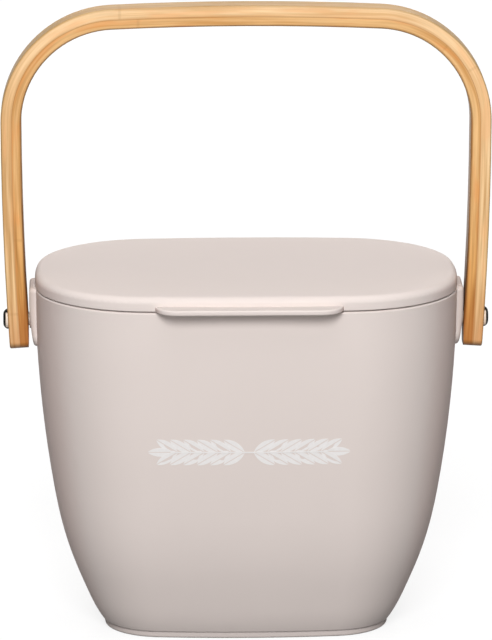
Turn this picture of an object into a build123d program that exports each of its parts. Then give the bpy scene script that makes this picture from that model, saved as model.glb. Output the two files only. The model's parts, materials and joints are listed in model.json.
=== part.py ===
from build123d import *
from math import asin, atan2, cos, degrees, sin, sqrt
import os

# Kitchen compost bin: an oval moulded bin, a lift-off lid with a front finger lip,
# and a carrying handle bent from two glued plies of bamboo that swings on two bolts.
# Millimetres, +Z up, X runs along the wide side, -Y is the front with the finger lip.
# The origin is the middle of the face that the foot ring rests on.

# Bin, outside form
RIM_HALF_WIDTH = 111.9
RIM_HALF_DEPTH = 74.5
RIM_HEIGHT = 186.1
WALL_CURVE_RADIUS = 651.0       # long curve of the side wall, upright at the rim
BELLY_RADIUS = 209.0            # tighter curve that draws the belly in to the foot
BELLY_TOP = 71.8                # level where the two curves meet
SIDE_SHARE = 12.0               # radius of the oval's bowed long sides, as a share of its half depth
CORNER_SHARE = 0.802            # corner radius of the oval, as a share of its half depth
END_SHARE = 2.55                # end radius of the oval, as a share of its half depth
WALL_SECTIONS = 10              # evenly spaced sections that the wall is lofted through

# Bin, walls, floor and foot ring
BIN_WALL = 2.6
RIM_EDGE_RADIUS = 0.9
RIM_INNER_RADIUS = 0.5
FLOOR_THICKNESS = 3.0
FLOOR_CORNER_RADIUS = 5.0
FOOT_HEIGHT = 4.0
FOOT_STEP = 1.15                # how far the foot ring stands inside the belly's lower edge
FOOT_RING_WIDTH = 3.2
FOOT_EDGE_RADIUS = 1.3

# Ears, the pads on the two ends of the bin that carry the handle
PIVOT_DROP = 19.6               # how far the pivot is below the rim
EAR_WIDTH = 28.0
EAR_DROP = 13.2                 # how far the ear reaches below the pivot
EAR_RIM_GAP = 0.2               # how far the ear's top stays below the rim
EAR_STANDOUT = 3.1              # how far the ear's face stands out past the rim, at its outermost
EAR_CURVE_RADIUS = 144.0        # the face curves in towards its lower end
EAR_CURVE_DROP = 6.1            # from the rim down to where the face is outermost
EAR_CORNER_RADIUS = 7.0
EAR_TOP_RADIUS = 2.5
EAR_EDGE_RADIUS = 1.8
LANDING_DIAMETER = 10.0         # raised round face that the pivot sleeve is clamped on
LANDING_SETBACK = 0.1           # how far the landing stays behind the outermost line of the ear
NUT_BOSS_DIAMETER = 16.0
NUT_BOSS_STANDIN = 2.0          # how far the flat boss inside the bin stands in from the wall

# Lid
LID_SEAM_GAP = 0.6              # the dark line between bin and lid
LID_EDGE_HEIGHT = 7.4           # height of the lid at its two ends
LID_CROWN = 0.4                 # how much the middle of the lid is higher than its ends
LID_EDGE_RADIUS = 4.0
LID_FOOT_RADIUS = 0.6
LID_WALL = 2.6
LIP_LENGTH = 98.0
LIP_REACH = 9.4
LIP_THICKNESS = 2.9
LIP_CORNER_RADIUS = 12.0
LIP_EDGE_RADIUS = 1.0
SKIRT_CLEARANCE = 1.5           # room between the bin's wall and the lid's locating skirt
SKIRT_THICKNESS = 2.2
SKIRT_DEPTH = 9.4               # how far the skirt reaches down into the bin
SKIRT_EDGE_RADIUS = 0.6

# Seal ring in the skirt's groove
SEAL_GROOVE_DEPTH = 1.0
SEAL_HEIGHT = 3.0
SEAL_DROP = 3.6                 # from the lid's lower edge down to the top of the seal
SEAL_WALL_GAP = 0.35            # what is left between the relaxed seal and the bin's wall
SEAL_EDGE_RADIUS = 0.7

# Handle
HANDLE_RISE = 169.3             # from the pivot up to the highest point of the arch
HANDLE_DEPTH = 15.3
OUTER_PLY = 5.6
INNER_PLY = 5.3
HANDLE_CORNER_RADIUS = 60.8
HANDLE_CROWN_RADIUS = 1556.0
LEG_GAP = 0.43                  # between the ear's outermost line and the leg, at the pivot
LEG_FLARE = 3.01                # how much farther out the leg stands at the corner than at the pivot
LEG_DROP = 15.4                 # how far the legs reach below the pivot
LEG_END_RADIUS = 4.0            # rounding of the leg's end, seen from the side
HANDLE_EDGE_RADIUS = 0.8

# Pivots: M6 low button head bolt, sleeve, washer and cap nut
BOLT_DIAMETER = 6.0
BOLT_LENGTH = 30.0
BOLT_TIP_CHAMFER = 0.7
HEAD_DIAMETER = 10.8
HEAD_HEIGHT = 2.7
HEAD_RIM = 0.5                  # upright rim under the dome
HEAD_FLAT_SHARE = 0.5           # flat top of the dome, as a share of the head's radius
HEAD_DOME_SHARE = 0.25          # bulge of the dome's flank, as a share of its height
SOCKET_ACROSS_FLATS = 4.0
SOCKET_DEPTH = 1.6
BOLT_HOLE_CLEARANCE = 0.1       # radial, bolt in bin, sleeve and nut
SLEEVE_DIAMETER = 7.2
SLEEVE_FIT = 0.08               # radial running fit, sleeve in handle leg
SPOT_FACE_DEPTH = 0.4           # flat cut square to the pivot, on the leg's outer face
SPOT_FACE_DIAMETER = 12.4
HEAD_PLAY = 0.3                 # end play between spot face and bolt head
WASHER_DIAMETER = 12.0
WASHER_HOLE = 6.4
WASHER_THICKNESS = 1.6
NUT_ACROSS_FLATS = 10.0
NUT_HEX_HEIGHT = 5.0
NUT_HEIGHT = 12.0
NUT_DOME_DIAMETER = 9.5
NUT_BORE_DEPTH = 9.6

# One overrun serves every cut
OVERRUN = 2.0

LID_BOTTOM = RIM_HEIGHT + LID_SEAM_GAP
PIVOT_HEIGHT = RIM_HEIGHT - PIVOT_DROP
EAR_FACE = RIM_HALF_WIDTH + EAR_STANDOUT
LANDING_FACE = EAR_FACE - LANDING_SETBACK
LEG_INNER_FACE = EAR_FACE + LEG_GAP
SLEEVE_HOLE_RADIUS = SLEEVE_DIAMETER / 2 + SLEEVE_FIT
BOLT_HOLE_RADIUS = BOLT_DIAMETER / 2 + BOLT_HOLE_CLEARANCE
HANDLE_TOP = PIVOT_HEIGHT + HANDLE_RISE
HANDLE_THICKNESS = OUTER_PLY + INNER_PLY
LEG_OUTER_FACE = LEG_INNER_FACE + HANDLE_THICKNESS
HANDLE_HALF_WIDTH = LEG_OUTER_FACE + LEG_FLARE
SPOT_FACE = LEG_OUTER_FACE - SPOT_FACE_DEPTH
HEAD_SEAT = SPOT_FACE + HEAD_PLAY       # the bolt head is clamped on the sleeve's outer end


def oval(half_width, half_depth):
    """The bin's plan: bowed long sides and ends, joined by tangent corner arcs."""
    side = SIDE_SHARE * half_depth
    corner = CORNER_SHARE * half_depth
    end = END_SHARE * half_depth
    side_y = half_depth - side
    end_x = half_width - end
    spread = sqrt(end_x ** 2 + side_y ** 2)
    along = ((side - corner) ** 2 - (end - corner) ** 2 + spread ** 2) / (2 * spread)
    across = sqrt((side - corner) ** 2 - along ** 2)
    corner_x = (along * end_x - across * side_y) / spread
    corner_y = side_y - (along * side_y + across * end_x) / spread
    side_turn = degrees(atan2(corner_x, corner_y - side_y))
    end_turn = degrees(atan2(corner_y, corner_x - end_x))
    sweep = 90 - side_turn - end_turn
    edges = [
        CenterArc((end_x, 0), end, -end_turn, 2 * end_turn),
        CenterArc((corner_x, corner_y), corner, end_turn, sweep),
        CenterArc((0, side_y), side, 90 - side_turn, 2 * side_turn),
        CenterArc((-corner_x, corner_y), corner, 90 + side_turn, sweep),
        CenterArc((-end_x, 0), end, 180 - end_turn, 2 * end_turn),
        CenterArc((-corner_x, -corner_y), corner, 180 + end_turn, sweep),
        CenterArc((0, -side_y), side, 270 - side_turn, 2 * side_turn),
        CenterArc((corner_x, -corner_y), corner, 270 + side_turn, sweep),
    ]
    return make_face(edges)


def rim_oval(inset):
    """The rim's outline, drawn in by the given amount on every side."""
    return oval(RIM_HALF_WIDTH - inset, RIM_HALF_DEPTH - inset)


def oval_block(inset, bottom, top):
    """An upright block on the rim's outline."""
    return Pos(0, 0, bottom) * extrude(rim_oval(inset), amount=top - bottom)


def oval_ring(outer_inset, inner_inset, bottom, top):
    """An upright ring between two insets of the rim's outline."""
    return oval_block(outer_inset, bottom, top) - oval_block(inner_inset, bottom, top)


def belly_curve():
    """The belly's curve: inset and level of its centre, and the slope where the wall's begins."""
    join = asin((RIM_HEIGHT - BELLY_TOP) / WALL_CURVE_RADIUS)
    radius_step = WALL_CURVE_RADIUS - BELLY_RADIUS
    centre_inset = WALL_CURVE_RADIUS - radius_step * cos(join)
    centre_level = RIM_HEIGHT - radius_step * sin(join)
    return centre_inset, centre_level, join


def wall_inset(level):
    """How far the bin's outer wall stands inside the rim's outline at a level."""
    if level >= BELLY_TOP:
        return WALL_CURVE_RADIUS - sqrt(WALL_CURVE_RADIUS ** 2 - (RIM_HEIGHT - level) ** 2)
    centre_inset, centre_level, join = belly_curve()
    return centre_inset - sqrt(BELLY_RADIUS ** 2 - (centre_level - level) ** 2)


def wall_form(bottom, top, thickness):
    """The solid inside the bin's wall, lofted through sections evenly spaced up its curve."""
    centre_inset, centre_level, join = belly_curve()
    low = asin((centre_level - bottom) / BELLY_RADIUS)
    high = asin((RIM_HEIGHT - top) / WALL_CURVE_RADIUS)
    belly_run = BELLY_RADIUS * (low - join)
    wall_run = WALL_CURVE_RADIUS * (join - high)
    step = (belly_run + wall_run) / (WALL_SECTIONS - 1)
    sections = []
    for index in range(WALL_SECTIONS):
        travel = index * step
        if travel < belly_run:
            level = centre_level - BELLY_RADIUS * sin(low - travel / BELLY_RADIUS)
        else:
            level = RIM_HEIGHT - WALL_CURVE_RADIUS * sin(join - (travel - belly_run) / WALL_CURVE_RADIUS)
        sections.append(Pos(0, 0, level) * rim_oval(wall_inset(level) + thickness))
    return loft(sections)


def along_x(solid, x, level=PIVOT_HEIGHT):
    """Turn an upright solid so that its +Z points outward along +X, and place its base."""
    return Pos(x, 0, level) * Rot(0, 90, 0) * solid


def rod_x(radius, start, end, level=PIVOT_HEIGHT):
    """A round rod along X between two x positions."""
    length = end - start
    return along_x(Pos(0, 0, length / 2) * Cylinder(radius, length), start, level)


def both_ends(solid):
    """A right-hand solid together with its mirror image at the left end."""
    return solid + mirror(solid, about=Plane.YZ)


def ear():
    """The right ear: a rounded pad whose face curves in a little towards its lower end."""
    top = RIM_HEIGHT - EAR_RIM_GAP - PIVOT_HEIGHT
    height = top + EAR_DROP
    face = Pos(0, (top - EAR_DROP) / 2) * Rectangle(EAR_WIDTH, height)
    face = fillet(face.vertices().group_by(Axis.Y)[0], EAR_CORNER_RADIUS)
    face = fillet(face.vertices().group_by(Axis.Y)[-1], EAR_TOP_RADIUS)
    plane = Plane(origin=(EAR_FACE + OVERRUN, 0, PIVOT_HEIGHT), x_dir=(0, 1, 0), z_dir=(1, 0, 0))
    pad = extrude(plane * face, amount=-(EAR_STANDOUT + 2 * BIN_WALL + OVERRUN))
    curve = Rot(90, 0, 0) * Cylinder(EAR_CURVE_RADIUS, 2 * EAR_WIDTH)
    pad &= Pos(EAR_FACE - EAR_CURVE_RADIUS, 0, RIM_HEIGHT - EAR_CURVE_DROP) * curve
    pad = fillet(pad.faces().sort_by(Axis.X)[-1].edges(), EAR_EDGE_RADIUS)
    return pad + rod_x(LANDING_DIAMETER / 2, RIM_HALF_WIDTH, LANDING_FACE)


def boss_face_x():
    """The flat inside the bin that the washer seats on."""
    return RIM_HALF_WIDTH - wall_inset(PIVOT_HEIGHT) - BIN_WALL - NUT_BOSS_STANDIN


def bin_body():
    """The moulded bin: tapering shell, floor, foot ring, ears and nut bosses."""
    floor_top = FOOT_HEIGHT + FLOOR_THICKNESS / 2
    foot_inset = wall_inset(FOOT_HEIGHT) + FOOT_STEP
    cavity = wall_form(floor_top, RIM_HEIGHT + OVERRUN, BIN_WALL)
    cavity = fillet(cavity.edges().group_by(Axis.Z)[0], FLOOR_CORNER_RADIUS)
    foot = oval_ring(foot_inset, foot_inset + FOOT_RING_WIDTH, 0, floor_top)
    foot += oval_block(foot_inset, floor_top - FLOOR_THICKNESS, floor_top)
    foot = fillet(foot.edges().group_by(Axis.Z)[0], FOOT_EDGE_RADIUS)
    body = wall_form(FOOT_HEIGHT, RIM_HEIGHT, 0) - cavity
    rim = body.faces().sort_by(Axis.Z)[-1]
    body = fillet(rim.outer_wire().edges(), RIM_EDGE_RADIUS)
    rim = body.faces().sort_by(Axis.Z)[-1]
    body = fillet(rim.inner_wires()[0].edges(), RIM_INNER_RADIUS)
    body += foot
    body += both_ends(ear() - cavity)
    boss_end = boss_face_x() + NUT_BOSS_STANDIN + BIN_WALL / 2
    body += both_ends(rod_x(NUT_BOSS_DIAMETER / 2, boss_face_x(), boss_end))
    body -= both_ends(rod_x(BOLT_HOLE_RADIUS, boss_face_x() - OVERRUN, LANDING_FACE + OVERRUN))
    return body


def crown_ball(drop):
    """The large ball whose cap is the lid's crowned top, lowered by the given amount."""
    radius = (RIM_HALF_WIDTH ** 2 + LID_CROWN ** 2) / (2 * LID_CROWN)
    crown_top = LID_BOTTOM + LID_EDGE_HEIGHT + LID_CROWN
    return Pos(0, 0, crown_top - radius) * Sphere(radius - drop)


def lid_lip():
    """The finger lip: a thin shelf along the front edge with rounded ends."""
    back = LIP_CORNER_RADIUS
    shelf = Rectangle(LIP_LENGTH, LIP_REACH + back, align=(Align.CENTER, Align.MIN))
    shelf = fillet(shelf.vertices().group_by(Axis.Y)[0], LIP_CORNER_RADIUS)
    lip = Pos(0, -RIM_HALF_DEPTH - LIP_REACH, LID_BOTTOM) * extrude(shelf, amount=LIP_THICKNESS)
    rims = lip.edges().filter_by(Axis.Z, reverse=True)
    rims = [edge for edge in rims if edge.center().Y < -RIM_HALF_DEPTH]
    return fillet(rims, LIP_EDGE_RADIUS) - oval_block(LID_WALL, LID_BOTTOM, LID_BOTTOM + LIP_THICKNESS)


def lid():
    """The lid: crowned shell, finger lip and the skirt that locates it in the bin."""
    crown_top = LID_BOTTOM + LID_EDGE_HEIGHT + LID_CROWN
    shell = oval_block(0, LID_BOTTOM, crown_top + OVERRUN) & crown_ball(0)
    top = shell.faces().sort_by(Axis.Z)[-1]
    shell = fillet(top.edges(), LID_EDGE_RADIUS)
    shell = fillet(shell.edges().group_by(Axis.Z)[0], LID_FOOT_RADIUS)
    inside = oval_block(LID_WALL, LID_BOTTOM - OVERRUN, crown_top) & crown_ball(LID_WALL)
    shell -= inside
    outer = BIN_WALL + SKIRT_CLEARANCE
    inner = outer + SKIRT_THICKNESS
    skirt = oval_ring(outer, inner, LID_BOTTOM - SKIRT_DEPTH, crown_top) & crown_ball(LID_WALL / 2)
    skirt = fillet(skirt.edges().group_by(Axis.Z)[0], SKIRT_EDGE_RADIUS)
    seal_top = LID_BOTTOM - SEAL_DROP
    skirt -= oval_ring(outer - OVERRUN, outer + SEAL_GROOVE_DEPTH, seal_top - SEAL_HEIGHT, seal_top)
    return shell + skirt + lid_lip()


def lid_seal():
    """The soft ring that fills the skirt's groove and closes on the bin's wall."""
    outer = BIN_WALL + SEAL_WALL_GAP
    inner = BIN_WALL + SKIRT_CLEARANCE + SEAL_GROOVE_DEPTH
    seal_top = LID_BOTTOM - SEAL_DROP
    ring = oval_ring(outer, inner, seal_top - SEAL_HEIGHT, seal_top)
    faces = ring.faces().sort_by(Axis.Z)
    return fillet(faces[0].outer_wire().edges() + faces[-1].outer_wire().edges(), SEAL_EDGE_RADIUS)


def corner_centre():
    """Centre of the arch's right corner curve, which touches the crown and the leg."""
    x = HANDLE_HALF_WIDTH - HANDLE_CORNER_RADIUS
    crown_step = HANDLE_CROWN_RADIUS - HANDLE_CORNER_RADIUS
    return x, HANDLE_TOP - HANDLE_CROWN_RADIUS + sqrt(crown_step ** 2 - x ** 2)


def leg_curve(corner_z):
    """Radius of the leg's gentle curve, which draws in by the flare from corner to pivot."""
    drop = corner_z - PIVOT_HEIGHT
    return (LEG_FLARE ** 2 + drop ** 2) / (2 * LEG_FLARE)


def bow_edges(inset, lengthen=0):
    """The handle's arch, drawn in from its outer face: leg, corner, crown, corner, leg."""
    corner_x, corner_z = corner_centre()
    crown_z = HANDLE_TOP - HANDLE_CROWN_RADIUS
    slope = degrees(asin(corner_x / (HANDLE_CROWN_RADIUS - HANDLE_CORNER_RADIUS)))
    leg_radius = leg_curve(corner_z)
    leg_x = HANDLE_HALF_WIDTH - leg_radius
    drop = corner_z - PIVOT_HEIGHT + LEG_DROP + lengthen
    lean = degrees(asin(drop / leg_radius))
    return [
        CenterArc((leg_x, corner_z), leg_radius - inset, -lean, lean),
        CenterArc((corner_x, corner_z), HANDLE_CORNER_RADIUS - inset, 0, 90 - slope),
        CenterArc((0, crown_z), HANDLE_CROWN_RADIUS - inset, 90 - slope, 2 * slope),
        CenterArc((-corner_x, corner_z), HANDLE_CORNER_RADIUS - inset, 90 + slope, 90 - slope),
        CenterArc((-leg_x, corner_z), leg_radius - inset, 180, lean),
    ]


def bent_band(outer_inset, inner_inset, oversize=0):
    """A square-edged band bent to the arch, made longer and deeper by the given oversize."""
    outer = bow_edges(outer_inset, oversize)
    inner = bow_edges(inner_inset, oversize)
    ends = [Line(outer[0] @ 0, inner[0] @ 0), Line(outer[-1] @ 1, inner[-1] @ 1)]
    face = Plane.XZ * make_face(outer + inner + ends)
    return extrude(face, amount=HANDLE_DEPTH / 2 + oversize, both=True)


def handle_plies():
    """The rounded and drilled handle, parted along the glue line into its two plies."""
    blank = bent_band(0, HANDLE_THICKNESS)
    end_edges = blank.edges().filter_by(GeomType.LINE).filter_by(Axis.Y, reverse=True)
    blank = fillet(end_edges, LEG_END_RADIUS)
    rims = blank.edges().filter_by(GeomType.LINE, reverse=True)
    rims += [edge for edge in blank.edges().filter_by(Axis.Y) if edge.length < HANDLE_DEPTH - LEG_END_RADIUS]
    blank = fillet(rims, HANDLE_EDGE_RADIUS)
    flat = Box(LEG_INNER_FACE, 2 * HANDLE_DEPTH, 2 * LEG_DROP, align=(Align.MIN, Align.CENTER, Align.MAX))
    blank -= both_ends(Pos(0, 0, PIVOT_HEIGHT) * flat)
    outer_end = HANDLE_HALF_WIDTH + OVERRUN
    blank -= both_ends(rod_x(SLEEVE_HOLE_RADIUS, RIM_HALF_WIDTH, outer_end))
    blank -= both_ends(rod_x(SPOT_FACE_DIAMETER / 2, SPOT_FACE, outer_end))
    inside = bent_band(OUTER_PLY, HANDLE_THICKNESS + OVERRUN, OVERRUN)
    return blank - inside, blank & inside


def pivot_bolt():
    """A low button head bolt: domed head with a hex socket, and a plain shank."""
    radius = HEAD_DIAMETER / 2
    dome_height = HEAD_HEIGHT - HEAD_RIM
    flat = HEAD_FLAT_SHARE * radius
    outline = [
        Line((0, 0), (radius, 0)),
        Line((radius, 0), (radius, HEAD_RIM)),
        SagittaArc((radius, HEAD_RIM), (flat, HEAD_HEIGHT), -HEAD_DOME_SHARE * dome_height),
        Line((flat, HEAD_HEIGHT), (0, HEAD_HEIGHT)),
        Line((0, HEAD_HEIGHT), (0, 0)),
    ]
    head = revolve(Plane.XZ * make_face(outline), Axis.Z)
    socket = extrude(RegularPolygon(SOCKET_ACROSS_FLATS / 2, 6, major_radius=False), amount=-SOCKET_DEPTH)
    head -= Pos(0, 0, HEAD_HEIGHT) * socket
    shank = Pos(0, 0, -BOLT_LENGTH / 2) * Cylinder(BOLT_DIAMETER / 2, BOLT_LENGTH)
    shank = chamfer(shank.edges().group_by(Axis.Z)[0], BOLT_TIP_CHAMFER)
    return along_x(head + shank, HEAD_SEAT)


def pivot_sleeve():
    """The tube that the leg turns on, clamped between the ear's landing and the bolt head."""
    tube = rod_x(SLEEVE_DIAMETER / 2, LANDING_FACE, HEAD_SEAT)
    return tube - rod_x(BOLT_HOLE_RADIUS, LANDING_FACE - OVERRUN, HEAD_SEAT + OVERRUN)


def inner_washer():
    """The flat washer under the nut, inside the bin."""
    face = boss_face_x()
    disc = rod_x(WASHER_DIAMETER / 2, face - WASHER_THICKNESS, face)
    return disc - rod_x(WASHER_HOLE / 2, face - WASHER_THICKNESS - OVERRUN, face + OVERRUN)


def cap_nut():
    """The closed nut inside the bin: a hexagon with rounded corners and a domed cap."""
    hexagon = extrude(RegularPolygon(NUT_ACROSS_FLATS / 2, 6, major_radius=False), amount=NUT_HEX_HEIGHT)
    corner_radius = NUT_ACROSS_FLATS / sqrt(3)
    cone_height = corner_radius + NUT_HEX_HEIGHT
    hexagon &= Cone(cone_height, 0, cone_height, align=(Align.CENTER, Align.CENTER, Align.MIN))
    cap_radius = NUT_DOME_DIAMETER / 2
    straight = NUT_HEIGHT - cap_radius
    cap = Cylinder(cap_radius, straight, align=(Align.CENTER, Align.CENTER, Align.MIN))
    cap += Pos(0, 0, straight) * Sphere(cap_radius)
    nut = hexagon + cap
    nut -= Cylinder(BOLT_HOLE_RADIUS, NUT_BORE_DEPTH, align=(Align.CENTER, Align.CENTER, Align.MIN))
    seat = boss_face_x() - WASHER_THICKNESS
    return Pos(seat, 0, PIVOT_HEIGHT) * Rot(0, -90, 0) * nut


outer_ply, inner_ply = handle_plies()
parts = {
    "bin_body": bin_body(),
    "lid": lid(),
    "lid_seal": lid_seal(),
    "handle_outer_ply": outer_ply,
    "handle_inner_ply": inner_ply,
}
pivot_pieces = {
    "pivot_bolt": pivot_bolt(),
    "pivot_sleeve": pivot_sleeve(),
    "inner_washer": inner_washer(),
    "cap_nut": cap_nut(),
}
for name, solid in pivot_pieces.items():
    parts["right_" + name] = solid
    parts["left_" + name] = mirror(solid, about=Plane.YZ)

os.makedirs("parts", exist_ok=True)
for name, solid in parts.items():
    solid.label = name
    export_step(solid, f"parts/{name}.step")
    box = solid.bounding_box()
    print(f"{name:20s} {solid.volume:9.0f} mm3, {len(solid.solids())} solid, "
          f"x {box.min.X:.1f} to {box.max.X:.1f}, y {box.min.Y:.1f} to {box.max.Y:.1f}, "
          f"z {box.min.Z:.1f} to {box.max.Z:.1f}")
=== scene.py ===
import json
from math import cos, pi, radians, sin, sqrt

import bpy
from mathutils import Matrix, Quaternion, Vector


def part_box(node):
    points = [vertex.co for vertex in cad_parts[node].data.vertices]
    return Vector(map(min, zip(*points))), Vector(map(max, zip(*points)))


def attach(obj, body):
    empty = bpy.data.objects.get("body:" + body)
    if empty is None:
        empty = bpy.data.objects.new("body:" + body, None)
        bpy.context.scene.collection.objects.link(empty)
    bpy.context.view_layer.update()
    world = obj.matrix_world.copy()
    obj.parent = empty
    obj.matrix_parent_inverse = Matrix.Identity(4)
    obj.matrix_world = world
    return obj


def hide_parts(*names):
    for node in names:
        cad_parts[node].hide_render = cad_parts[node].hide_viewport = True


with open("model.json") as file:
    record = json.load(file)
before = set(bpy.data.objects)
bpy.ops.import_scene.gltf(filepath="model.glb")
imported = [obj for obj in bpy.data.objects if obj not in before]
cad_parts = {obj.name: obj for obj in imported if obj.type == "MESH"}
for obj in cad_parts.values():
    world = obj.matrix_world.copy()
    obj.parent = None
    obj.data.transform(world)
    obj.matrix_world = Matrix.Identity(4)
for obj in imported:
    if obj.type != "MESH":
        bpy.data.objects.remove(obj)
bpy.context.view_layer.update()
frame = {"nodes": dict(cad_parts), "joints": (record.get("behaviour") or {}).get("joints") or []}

# Kitchen compost bin with a bamboo carrying handle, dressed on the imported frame.
# Metres, +Z up, -Y is the front with the finger lip. MM turns the maker's millimetres into metres.
MM = 0.001

# Places that the frame gives
PIVOT = Vector(frame["joints"][0]["pos_m"])
HANDLE_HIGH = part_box("handle_outer_ply")[1]
HANDLE_TOP = HANDLE_HIGH.z
HANDLE_HALF_WIDTH = HANDLE_HIGH.x
RIM_HALF_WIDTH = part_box("lid")[1].x
BOLT_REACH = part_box("right_pivot_bolt")[1].x

# The bent handle's curves, which the bamboo's grain follows
CORNER_RADIUS = 60.8 * MM
CROWN_RADIUS = 1556 * MM
LEG_CURVE_RADIUS = 1900 * MM
HANDLE_THICKNESS = 10.9 * MM
OUTER_PLY = 5.6 * MM
CORNER_X = HANDLE_HALF_WIDTH - CORNER_RADIUS
CROWN_STEP = CROWN_RADIUS - CORNER_RADIUS
CORNER_Z = HANDLE_TOP - CROWN_RADIUS + sqrt(CROWN_STEP ** 2 - CORNER_X ** 2)

# Camera, fitted to the photograph, whose frame is 492 by 640
PHOTO_HEIGHT = 640
CAMERA_ELEVATION = radians(13.27)
CAMERA_AZIMUTH = radians(1.49)
CAMERA_DISTANCE = 3.0
CAMERA_ROLL = radians(-0.02)
CAMERA_AIM = Vector((0.05 * MM, 0, 165.0 * MM))
PIXELS_PER_METRE = 1880
SENSOR = 36
VIEW_REACH = 200

# Light, as shares of the level at which a colour renders as it is written
WORLD_LIGHT = 0.05
WORLD_TINT = (1, 0.86, 0.77, 1)
LAMP_AZIMUTH = radians(3)
KEY_LIGHT = 0.83
KEY_ELEVATION = radians(33.5)
KEY_SPREAD = radians(25)
FILL_LIGHT = 0.215
FILL_ELEVATION = radians(10)
FILL_SPREAD = radians(20)
TOP_LIGHT = 0.357
TOP_ELEVATION = radians(88)
TOP_SPREAD = radians(60)
BACK_LIGHT = 0.45
BACK_ELEVATION = radians(168)
BACK_SPREAD = radians(20)
LAMP_DISTANCE = 2
FLOOR_SIZE = 40
FLOOR_GREY = 0.15
FLOOR_GLOW = 1.05
FLOOR_SHADOW_SHARE = 0.24

# Meshes: points closer than this are one, and faces that meet more sharply keep their edge
MERGE_DISTANCE = 0.001 * MM
SHARP_ANGLE = radians(32)

# The printed sprig on the front
SPRIG_HEIGHT = 110.5 * MM
SPRIG_HALF_LENGTH = 53 * MM
SPRIG_STEM = 0.7 * MM
STEM_STEPS = 60
SPRIG_PAIRS = 6
FIRST_PAIR_SHARE = 0.35
LEAF_LENGTH = 13 * MM
LEAF_WIDTH = 4.5 * MM
LEAF_LEAN = radians(32)
LEAF_CIRCLE_POINTS = 192
VEIN_GAP = 0.35 * MM
PRINT_THICKNESS = 0.06 * MM
LEAF_STANDOUT = 0.03 * MM
STEM_STANDOUT = LEAF_STANDOUT + 2 * PRINT_THICKNESS
PRINT_START = 5 * MM
RAY_START = 1


# Shader values

class Value:
    """A shader socket that takes part in Python expressions by adding Math nodes."""

    def __init__(self, finish, socket):
        self.finish = finish
        self.socket = socket

    def math(self, operation, *others):
        inputs = dict(enumerate((self, *others)))
        return self.finish.node("ShaderNodeMath", {"operation": operation}, inputs)

    def __add__(self, other):
        return self.math("ADD", other)

    __radd__ = __add__

    def __sub__(self, other):
        return self.math("SUBTRACT", other)

    def __rsub__(self, other):
        return self.finish.node("ShaderNodeMath", {"operation": "SUBTRACT"}, {0: other, 1: self})

    def __mul__(self, other):
        return self.math("MULTIPLY", other)

    def __truediv__(self, other):
        return self.math("DIVIDE", other)

    def __pow__(self, power):
        return self.math("POWER", power)

    def __abs__(self):
        return self.math("ABSOLUTE")

    def least(self, other):
        return self.math("MINIMUM", other)

    def most(self, other):
        return self.math("MAXIMUM", other)


class Finish:
    """The node tree of a new material, or of the world that is handed in."""

    def __init__(self, name, world=None):
        self.owner = world or bpy.data.materials.new(name)
        self.owner.use_nodes = True
        self.tree = self.owner.node_tree
        self.tree.nodes.clear()

    def node(self, kind, settings=None, inputs=None, output=0):
        """Adds a node, sets it up, fills or links its sockets and returns one of its outputs."""
        made = self.tree.nodes.new(kind)
        for name, value in (settings or {}).items():
            setattr(made, name, value)
        for key, value in (inputs or {}).items():
            if isinstance(value, Value):
                self.tree.links.new(value.socket, made.inputs[key])
            else:
                made.inputs[key].default_value = value
        return Value(self, made.outputs[output]) if len(made.outputs) else None

    def place(self):
        """The point's x, y and z on the object."""
        point = self.node("ShaderNodeTexCoord", output="Object")
        return [self.node("ShaderNodeSeparateXYZ", None, {0: point}, axis) for axis in "XYZ"]

    def point(self, x, y, z):
        return self.node("ShaderNodeCombineXYZ", None, {0: x, 1: y, 2: z})

    def noise(self, vector, scale, detail=2.0, roughness=0.5):
        """Smooth noise about 0.5."""
        inputs = {"Vector": vector, "Scale": scale, "Detail": detail, "Roughness": roughness}
        return self.node("ShaderNodeTexNoise", None, inputs)

    def ease(self, value, start, end):
        """0 before start, 1 after end, and smooth between them."""
        settings = {"interpolation_type": "SMOOTHSTEP", "clamp": True}
        return self.node("ShaderNodeMapRange", settings, {"Value": value, 1: start, 2: end})

    def blend(self, share, first, second):
        """A colour between two colours."""
        settings = {"data_type": "RGBA", "clamp_factor": True}
        return self.node("ShaderNodeMix", settings, {0: share, 6: first, 7: second}, 2)

    def shade(self, tint, amount):
        """A linked colour made lighter or darker by an amount about 1."""
        return self.node("ShaderNodeVectorMath", {"operation": "SCALE"}, {0: tint, "Scale": amount})

    def bump(self, height, distance, strength=1.0):
        """A normal for fine relief, from a height between 0 and 1."""
        inputs = {"Height": height, "Distance": distance, "Strength": strength}
        return self.node("ShaderNodeBump", None, inputs)

    def surface(self, sockets):
        """Ends the material in one Principled shader."""
        shader = self.node("ShaderNodeBsdfPrincipled", None, sockets)
        self.node("ShaderNodeOutputMaterial", None, {"Surface": shader})
        return self.owner


def colour(red, green, blue):
    """A colour given as 0 to 255 levels, in the shader's linear light."""
    levels = [level / 255 for level in (red, green, blue)]
    return (*[((level + 0.055) / 1.055) ** 2.4 for level in levels], 1)


# Finishes: each band is where a tint begins and where it is full

EAR_SHADE_BAND = (RIM_HALF_WIDTH - 1 * MM, RIM_HALF_WIDTH + 1.5 * MM)
FOOT_SHADE_BAND = (4.6 * MM, 3.8 * MM)
SIDE_SHADE_BAND = (0.65, 0.95)
HEAD_HIGHLIGHT_BAND = (BOLT_REACH - 1.1 * MM, BOLT_REACH - 1.6 * MM)
HEAD_HIGHLIGHT_RISE_BAND = (4.3 * MM, 3.5 * MM)

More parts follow.
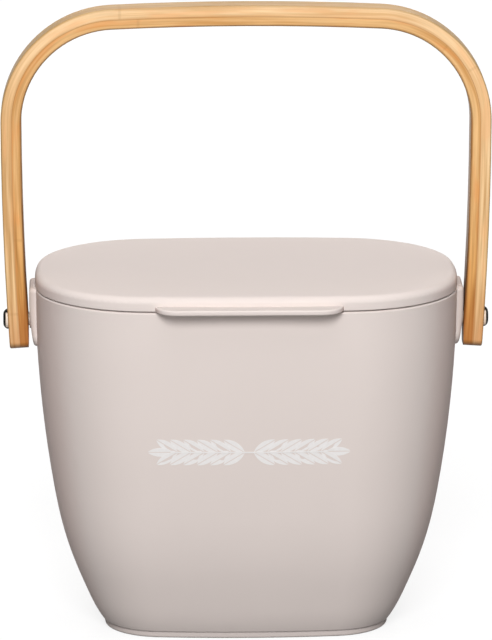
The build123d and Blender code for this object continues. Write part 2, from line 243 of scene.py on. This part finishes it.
# Bamboo, by depth below the outer face and by drop below the corner's centre
OUTER_FACE_SHADE_BAND = (1.1 * MM, 0.2 * MM)
OUTER_FACE_SHADE_CROWN_DROP = (-62 * MM, -50 * MM)
GLUE_BAND = (0.7 * MM, 0.15 * MM)
INNER_FACE_SHADE_BAND = (HANDLE_THICKNESS - 1.4 * MM, HANDLE_THICKNESS - 0.4 * MM)
INNER_FACE_SHADE_DROP = (30 * MM, 80 * MM)
FOOT_SHADE_DROP = (80 * MM, 120 * MM)
TIP_DROP = (118 * MM, 122 * MM)
NODE_BAND = (1.2 * MM, 0.3 * MM)
FIBRE_WANDER = 0.5 * MM
GLUE_WANDER = 0.2 * MM
NODE_WANDER = 3 * MM
TINY = 1e-6  # keeps the bend's angle defined where the handle is straight
# In each ply the leg colours are darker than the bar colours, partly the strips' tone and partly painted
# shade.
PALE_PLY = {
    "seed": 0.0,
    "bar": (colour(222, 176, 122), colour(244, 206, 158)),
    "leg": (colour(196, 150, 96), colour(238, 202, 152)),
    "leg_drop": (-40 * MM, 60 * MM),
    "warm": colour(236, 178, 122),
    "glue_share": 0.25,
    "foot_shade_share": 0.5,
    "node_spacing": 200 * MM,
}
DARK_PLY = {
    "seed": 3.7,
    "bar": (colour(202, 148, 86), colour(232, 186, 128)),
    "leg": (colour(154, 96, 34), colour(212, 156, 86)),
    "leg_drop": (10 * MM, 105 * MM),
    "warm": colour(222, 142, 72),
    "glue_share": 0.55,
    "foot_shade_share": 0.7,
    "node_spacing": 170 * MM,
}

# How deep each finish's fine relief is
PLASTIC_RELIEF = 0.012 * MM
RUBBER_RELIEF = 0.01 * MM
BAMBOO_RELIEF = 0.05 * MM
OXIDE_RELIEF = 0.01 * MM
TURNED_RELIEF = 0.008 * MM
INK_RELIEF = 0.01 * MM


def moulded_plastic():
    """Warm grey plastic, satin from the mould, with painted shade on the ears, the bottom ring and the
    sides.
    """
    finish = Finish("moulded_plastic")
    x, y, z = finish.place()
    place = finish.point(x, y, z)
    cloud = finish.noise(place, 14, 3)
    flow = finish.noise(finish.point(x, y, z * 0.35), 60, 2)
    grain = finish.noise(place, 1600, 2, 0.6)
    base = finish.blend(cloud * 0.7 + flow * 0.3, colour(218, 207, 202), colour(222, 211, 206))
    # Painted warm shade on the ears, where the handle's legs shade them.
    ear_shade = finish.ease(abs(x), *EAR_SHADE_BAND)
    base = finish.blend(ear_shade * 0.6, base, colour(190, 172, 162))
    # Painted shade on faces turned to the sides, darker and warmer than the front.
    facing = finish.node("ShaderNodeTexCoord", output="Normal")
    sideways = abs(finish.node("ShaderNodeSeparateXYZ", None, {0: facing}, "X"))
    side = finish.ease(sideways, *SIDE_SHADE_BAND)
    base = finish.blend(side * 0.6, base, colour(212, 190, 183))
    # Painted shade on the bottom ring that the bin stands on.
    foot_shade = finish.ease(z, *FOOT_SHADE_BAND)
    base = finish.blend(foot_shade * 0.8, base, colour(188, 178, 174))
    return finish.surface({
        "Base Color": base, "Roughness": 0.50 + grain * 0.10 + cloud * 0.04, "Specular IOR Level": 0.08,
        "Normal": finish.bump(grain, PLASTIC_RELIEF, 0.6),
    })


def seal_rubber():
    """Soft pale grey rubber with a dry bloom."""
    finish = Finish("seal_rubber")
    place = finish.point(*finish.place())
    bloom = finish.noise(place, 120, 3)
    grain = finish.noise(place, 2500, 1)
    base = finish.blend(bloom, colour(186, 182, 178), colour(203, 199, 195))
    return finish.surface({
        "Base Color": base, "Roughness": 0.68 + bloom * 0.15, "Specular IOR Level": 0.3,
        "Normal": finish.bump(grain, RUBBER_RELIEF),
    })


def bent_grain(finish):
    """Depth below the handle's outer face, way along the bend from its middle, y, and drop of the leg."""
    x, y, z = finish.place()
    out = abs(x)
    side = finish.node("ShaderNodeMath", {"operation": "SIGN"}, {0: x})
    past_x = (out - CORNER_X).most(0)
    past_z = (z - CORNER_Z).most(0)
    drop = CORNER_Z - z
    leg_drop = drop.most(0)
    bar = out.least(CORNER_X)
    radius = (past_x * past_x + past_z * past_z) ** 0.5
    crown_rise = (CORNER_X ** 2 - bar * bar) / (2 * CROWN_RADIUS)
    leg_draw = leg_drop * leg_drop / (2 * LEG_CURVE_RADIUS)
    depth = CORNER_RADIUS + crown_rise - leg_draw - radius
    turn = past_x.math("ARCTAN2", past_z + TINY)
    along = (bar + turn * CORNER_RADIUS + leg_drop) * side
    return depth, along, y, drop


def bamboo(name, ply):
    """Laminated bamboo: long fibres, warm streaks, node marks and a glue line, with painted shade on the
    outer face, the inner face and the legs' lower ends, and legs darker than the bar partly by painted
    shade.
    """
    finish = Finish(name)
    depth, along, y, drop = bent_grain(finish)
    seed = ply["seed"]
    wander = finish.noise(finish.point(along * 9, y * 30, seed), 1, 2) - 0.5
    across = depth + wander * FIBRE_WANDER
    fibre = finish.noise(finish.point(along * 40, y * 620, across * 620 + seed), 1, 3, 0.6)
    streak = finish.noise(finish.point(along * 16, y * 200, across * 520 + seed), 1, 2, 0.5)
    warm = finish.noise(finish.point(along * 34, y * 40, across * 280 + seed + 5), 1, 2)
    cloud = finish.noise(finish.point(along * 22, y * 60, seed), 1, 2)
    share = finish.ease(streak, 0.32, 0.68)
    bar = finish.blend(share, *ply["bar"])
    leg = finish.blend(share, *ply["leg"])
    # Towards the legs the colour darkens, partly tone and partly painted shade where the light falls off to
    # the sides.
    base = finish.blend(finish.ease(drop, *ply["leg_drop"]), bar, leg)
    base = finish.blend(finish.ease(warm, 0.50, 0.68) * 0.45, base, ply["warm"])
    glue = finish.ease(abs(depth - OUTER_PLY - wander * GLUE_WANDER), *GLUE_BAND)
    base = finish.blend(glue * ply["glue_share"], base, colour(176, 120, 66))
    # Painted shade on the outer face and its rounded edges, less deep on the top of the bar; the same mask
    # roughens them.
    skin = finish.ease(depth, *OUTER_FACE_SHADE_BAND) * (0.6 + finish.ease(drop, *OUTER_FACE_SHADE_CROWN_DROP) * 0.2)
    base = finish.blend(skin, base, colour(156, 122, 68))
    # Painted shade on the inner face, deeper down the legs, where the ears shade them.
    inner_face_shade = finish.ease(depth, *INNER_FACE_SHADE_BAND) * (0.6 + finish.ease(drop, *INNER_FACE_SHADE_DROP) * 0.3)
    base = finish.blend(inner_face_shade, base, colour(88, 54, 22))
    # Painted shade on the legs' lower ends, beside the ears.
    foot_shade = finish.ease(drop, *FOOT_SHADE_DROP)
    base = finish.blend(foot_shade * ply["foot_shade_share"], base, colour(168, 100, 42))
    spacing = ply["node_spacing"]
    node_beat = (along + spacing / 3 + wander * NODE_WANDER).math("PINGPONG", spacing / 2)
    node_mark = finish.ease(node_beat, *NODE_BAND)
    base = finish.blend(node_mark * 0.16, base, colour(160, 108, 58))
    tip = finish.ease(drop, *TIP_DROP)
    base = finish.blend(tip * 0.65, base, colour(92, 66, 40))
    base = finish.shade(base, 0.80 + fibre * 0.32 + cloud * 0.08)
    relief = fibre * 0.7 + streak * 0.3
    return finish.surface({
        "Base Color": base, "Roughness": 0.34 + fibre * 0.16 + skin * 0.06, "Specular IOR Level": 0.25,
        "Normal": finish.bump(relief, BAMBOO_RELIEF, 0.6),
    })


def black_steel():
    """Black oxide on steel, uneven in patches, with a painted reflection along the middle from the head's
    seat inwards.
    """
    finish = Finish("black_steel")
    x, y, z = finish.place()
    place = finish.point(x, y, z)
    patch = finish.noise(place, 500, 3)
    grain = finish.noise(place, 6000, 2)
    base = finish.blend(patch, colour(8, 8, 8), colour(18, 17, 16))
    # Painted reflection of the bright room, a light band on the head beside its seat.
    head_highlight = finish.ease(abs(x), *HEAD_HIGHLIGHT_BAND) * finish.ease(abs(z - PIVOT.z), *HEAD_HIGHLIGHT_RISE_BAND)
    base = finish.blend(head_highlight, base, colour(240, 222, 204))
    return finish.surface({
        "Base Color": base, "Roughness": 0.34 + patch * 0.10, "Specular IOR Level": 0.03,
        "Normal": finish.bump(grain, OXIDE_RELIEF, 0.4),
    })


def bright_steel():
    """Plain steel with fine turning marks round the pivot's axis."""
    finish = Finish("bright_steel")
    x, y, z = finish.place()
    rise = z - PIVOT.z
    ring = (y * y + rise * rise) ** 0.5
    turned = finish.noise(finish.point(ring, 0, 0), 9000, 2)
    smear = finish.noise(finish.point(x, y, z), 300, 3)
    base = finish.blend(smear, colour(196, 196, 198), colour(216, 216, 217))
    return finish.surface({
        "Base Color": base, "Metallic": 1.0, "Roughness": 0.24 + turned * 0.14 + smear * 0.06,
        "Normal": finish.bump(turned, TURNED_RELIEF, 0.5),
    })


def white_ink():
    """Pad-printed off-white ink, a little thin in places."""
    finish = Finish("white_ink")
    place = finish.point(*finish.place())
    thin = finish.noise(place, 700, 3, 0.6)
    base = finish.blend(thin, colour(226, 222, 221), colour(236, 234, 233))
    return finish.surface({
        "Base Color": base, "Roughness": 0.5 + thin * 0.1, "Specular IOR Level": 0.3,
        "Normal": finish.bump(thin, INK_RELIEF, 0.5),
    })


# Modelling helpers

def deselect():
    for thing in list(bpy.context.selected_objects):
        thing.select_set(False)


def only(piece):
    """Makes a piece the one that operators act on."""
    deselect()
    piece.select_set(True)
    bpy.context.view_layer.objects.active = piece


def apply_all(piece):
    """Applies a piece's modifiers in order."""
    only(piece)
    for modifier in list(piece.modifiers):
        bpy.ops.object.modifier_apply(modifier=modifier.name)


def smooth_copy(node):
    """A merged copy of a CAD node whose curved faces shade as one surface. It stands for the node."""
    source = frame["nodes"][node]
    piece = bpy.data.objects.new(node + "_skin", source.data.copy())
    bpy.context.scene.collection.objects.link(piece)
    only(piece)
    bpy.ops.object.mode_set(mode="EDIT")
    bpy.ops.mesh.select_all(action="SELECT")
    bpy.ops.mesh.customdata_custom_splitnormals_clear()
    bpy.ops.mesh.remove_doubles(threshold=MERGE_DISTANCE)
    bpy.ops.object.mode_set(mode="OBJECT")
    bpy.ops.object.shade_smooth_by_angle(angle=SHARP_ANGLE)
    weighted = piece.modifiers.new("even shading", "WEIGHTED_NORMAL")
    weighted.keep_sharp = True
    apply_all(piece)
    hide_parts(node)
    return piece


def dress(piece, material):
    """Gives a piece its only material."""
    piece.data.materials.clear()
    piece.data.materials.append(material)


# Printed sprig

def wall_level(piece, height):
    """Where the front wall's surface is at a height, by a ray from the front."""
    struck = piece.ray_cast(Vector((0, -RAY_START, height)), Vector((0, 1, 0)))
    return struck[1].y


def leaf_pattern():
    """A flat leaf along +X from the origin: two bows cut from circles, with a gap for the midrib."""
    bow = LEAF_WIDTH / 2
    radius = (LEAF_LENGTH ** 2 / 4 + bow ** 2) / (2 * bow)
    deselect()
    bpy.ops.mesh.primitive_circle_add(vertices=LEAF_CIRCLE_POINTS, radius=radius, fill_type="NGON")
    leaf = bpy.context.active_object
    leaf.name = "leaf_pattern"
    bpy.ops.object.mode_set(mode="EDIT")
    bpy.ops.mesh.select_all(action="SELECT")
    bpy.ops.mesh.bisect(plane_co=(0, radius - bow, 0), plane_no=(0, 1, 0), use_fill=False, clear_inner=True)
    bpy.ops.mesh.select_all(action="SELECT")
    bpy.ops.transform.translate(value=(LEAF_LENGTH / 2, bow - radius + VEIN_GAP / 2, 0))
    bpy.ops.mesh.duplicate()
    bpy.ops.transform.resize(value=(1, -1, 1), center_override=(0, 0, 0))
    bpy.ops.mesh.select_all(action="SELECT")
    bpy.ops.mesh.normals_make_consistent(inside=False)
    bpy.ops.object.mode_set(mode="OBJECT")
    return leaf


def sprig_leaf(pattern, way):
    """A copy of the leaf, left open in edit mode, that points to +X, or to -X where way is -1."""
    leaf = bpy.data.objects.new("sprig_leaf", pattern.data.copy())
    bpy.context.scene.collection.objects.link(leaf)
    only(leaf)
    bpy.ops.object.mode_set(mode="EDIT")
    bpy.ops.mesh.select_all(action="SELECT")
    if way < 0:
        bpy.ops.transform.resize(value=(-1, 1, 1), center_override=(0, 0, 0))
        bpy.ops.mesh.flip_normals()
    return leaf


def joined(pieces, name):
    """Joins pieces into one."""
    deselect()
    for piece in pieces:
        piece.select_set(True)
    bpy.context.view_layer.objects.active = pieces[0]
    bpy.ops.object.join()
    pieces[0].name = name
    return pieces[0]


def lay_ink(figure, bin_skin, standout):
    """Stands a flat figure up before the bin and lays it on the front wall as a thin layer."""
    only(figure)
    bpy.ops.object.mode_set(mode="EDIT")
    bpy.ops.mesh.select_all(action="SELECT")
    bpy.ops.transform.rotate(value=-pi / 2, orient_axis="X", center_override=(0, 0, 0))
    front = wall_level(bin_skin, SPRIG_HEIGHT) - PRINT_START
    bpy.ops.transform.translate(value=(0, front, SPRIG_HEIGHT))
    bpy.ops.mesh.quads_convert_to_tris()
    bpy.ops.object.mode_set(mode="OBJECT")
    wrap = figure.modifiers.new("wrap", "SHRINKWRAP")
    wrap.target = bin_skin
    wrap.wrap_method = "PROJECT"
    wrap.use_project_y = True
    wrap.use_positive_direction = True
    wrap.use_negative_direction = False
    wrap.offset = standout
    layer = figure.modifiers.new("ink", "SOLIDIFY")
    layer.thickness = PRINT_THICKNESS
    layer.offset = 1
    apply_all(figure)


def print_sprig(bin_skin):
    """Two mirrored rows of leaf pairs, printed on the front wall, and over them one stem."""
    pattern = leaf_pattern()
    leaves = []
    step = (SPRIG_HALF_LENGTH - LEAF_LENGTH * cos(LEAF_LEAN)) / SPRIG_PAIRS
    for way in (-1, 1):
        for index in range(SPRIG_PAIRS):
            for tilt in (-LEAF_LEAN, LEAF_LEAN):
                leaves.append(sprig_leaf(pattern, way))
                bpy.ops.transform.rotate(value=-way * tilt, orient_axis="Z", center_override=(0, 0, 0))
                bpy.ops.transform.translate(value=(way * step * (index + FIRST_PAIR_SHARE), 0, 0))
                bpy.ops.object.mode_set(mode="OBJECT")
        leaves.append(sprig_leaf(pattern, way))
        bpy.ops.transform.translate(value=(way * (SPRIG_HALF_LENGTH - LEAF_LENGTH), 0, 0))
        bpy.ops.object.mode_set(mode="OBJECT")
    bpy.data.objects.remove(pattern)
    sprig = joined(leaves, "sprig_leaves")
    lay_ink(sprig, bin_skin, LEAF_STANDOUT)
    deselect()
    bpy.ops.mesh.primitive_grid_add(x_subdivisions=STEM_STEPS, y_subdivisions=1, size=1)
    stem = bpy.context.active_object
    bpy.ops.object.mode_set(mode="EDIT")
    bpy.ops.transform.resize(value=(2 * (SPRIG_HALF_LENGTH - LEAF_LENGTH), SPRIG_STEM, 1))
    bpy.ops.object.mode_set(mode="OBJECT")
    lay_ink(stem, bin_skin, STEM_STANDOUT)
    return joined([sprig, stem], "front_sprig")


# Floor, world, lights and camera

def sees_white(finish):
    """1 for rays that come from the camera, a reflection or through glass, which see white."""
    camera = finish.node("ShaderNodeLightPath", output="Is Camera Ray")
    glossy = finish.node("ShaderNodeLightPath", output="Is Glossy Ray")
    through = finish.node("ShaderNodeLightPath", output="Is Transmission Ray")
    return camera.most(glossy).most(through)


def make_floor():
    """A white floor that keeps the object's shadow, and lights the object as a grey one would."""
    deselect()
    bpy.ops.mesh.primitive_plane_add(size=FLOOR_SIZE, location=(0, 0, 0))
    floor = bpy.context.active_object
    floor.name = "floor"
    finish = Finish("pale_floor")
    shadowed = finish.node("ShaderNodeBsdfDiffuse", None, {"Color": (1, 1, 1, 1)})
    glow = finish.node("ShaderNodeEmission", None, {"Color": (1, 1, 1, 1), "Strength": FLOOR_GLOW})
    seen = finish.node("ShaderNodeMixShader", None, {0: FLOOR_SHADOW_SHARE, 1: glow, 2: shadowed})
    grey = (FLOOR_GREY, FLOOR_GREY, FLOOR_GREY, 1)
    lit = finish.node("ShaderNodeBsdfDiffuse", None, {"Color": grey})
    both = finish.node("ShaderNodeMixShader", None, {0: sees_white(finish), 1: lit, 2: seen})
    finish.node("ShaderNodeOutputMaterial", None, {"Surface": both})
    dress(floor, finish.owner)


def make_world():
    """A white room to the camera, and a weak warm light on the object."""
    world = bpy.data.worlds.new("studio")
    bpy.context.scene.world = world
    sky = Finish("studio", world)
    plain = sky.node("ShaderNodeBackground", None, {"Color": WORLD_TINT, "Strength": WORLD_LIGHT})
    white = sky.node("ShaderNodeBackground", None, {"Color": (1, 1, 1, 1), "Strength": 1.0})
    both = sky.node("ShaderNodeMixShader", None, {0: sees_white(sky), 1: plain, 2: white})
    sky.node("ShaderNodeOutputWorld", None, {"Surface": both})


def direction(azimuth, elevation):
    """A unit vector: azimuth turns from the front towards -X, elevation rises from the floor."""
    level = cos(elevation)
    return Vector((-sin(azimuth) * level, -cos(azimuth) * level, sin(elevation)))


def make_lamp(name, level, elevation, spread, glossy=True):
    """A wide soft lamp far off, raised from the front, so that past 90 degrees it is behind the object."""
    lamp = bpy.data.lights.new(name, "SUN")
    lamp.energy = level * pi
    lamp.angle = spread
    holder = bpy.data.objects.new(name, lamp)
    holder.visible_glossy = glossy
    bpy.context.scene.collection.objects.link(holder)
    back = direction(LAMP_AZIMUTH, elevation)
    holder.rotation_mode = "QUATERNION"
    holder.rotation_quaternion = back.to_track_quat("Z", "Y")
    holder.location = back * LAMP_DISTANCE


def make_camera():
    """The fitted camera, behind its aim by its distance."""
    lens = bpy.data.cameras.new("camera")
    lens.sensor_width = SENSOR
    lens.lens = PIXELS_PER_METRE * CAMERA_DISTANCE * SENSOR / PHOTO_HEIGHT
    lens.clip_end = VIEW_REACH
    camera = bpy.data.objects.new("camera", lens)
    bpy.context.scene.collection.objects.link(camera)
    back = direction(CAMERA_AZIMUTH, CAMERA_ELEVATION)
    camera.location = CAMERA_AIM + back * CAMERA_DISTANCE
    camera.rotation_mode = "QUATERNION"
    camera.rotation_quaternion = back.to_track_quat("Z", "Y") @ Quaternion((0, 0, 1), -CAMERA_ROLL)
    bpy.context.scene.camera = camera


make_camera()
make_floor()
make_world()
make_lamp("key_lamp", KEY_LIGHT, KEY_ELEVATION, KEY_SPREAD)
make_lamp("fill_lamp", FILL_LIGHT, FILL_ELEVATION, FILL_SPREAD)
make_lamp("top_lamp", TOP_LIGHT, TOP_ELEVATION, TOP_SPREAD)
make_lamp("back_lamp", BACK_LIGHT, BACK_ELEVATION, BACK_SPREAD, glossy=False)

plastic = moulded_plastic()
rubber = seal_rubber()
pale_bamboo = bamboo("bamboo_pale", PALE_PLY)
dark_bamboo = bamboo("bamboo_dark", DARK_PLY)
oxide = black_steel()
steel = bright_steel()

bin_skin = smooth_copy("bin_body")
dress(bin_skin, plastic)
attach(bin_skin, "bin")

lid_skin = smooth_copy("lid")
dress(lid_skin, plastic)
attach(lid_skin, "lid")

seal_skin = smooth_copy("lid_seal")
dress(seal_skin, rubber)
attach(seal_skin, "lid")

outer_skin = smooth_copy("handle_outer_ply")
dress(outer_skin, pale_bamboo)
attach(outer_skin, "handle")

inner_skin = smooth_copy("handle_inner_ply")
dress(inner_skin, dark_bamboo)
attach(inner_skin, "handle")

for side in ("left", "right"):
    for name, material, slot in (
        ("pivot_bolt", oxide, "black_steel"),
        ("pivot_sleeve", oxide, "black_steel"),
        ("inner_washer", steel, "bright_steel"),
        ("cap_nut", steel, "bright_steel"),
    ):
        skin = smooth_copy(f"{side}_{name}")
        dress(skin, material)
        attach(skin, "bin")

sprig = print_sprig(bin_skin)
dress(sprig, white_ink())
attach(sprig, "bin")

bpy.context.scene.view_settings.view_transform = "Standard"
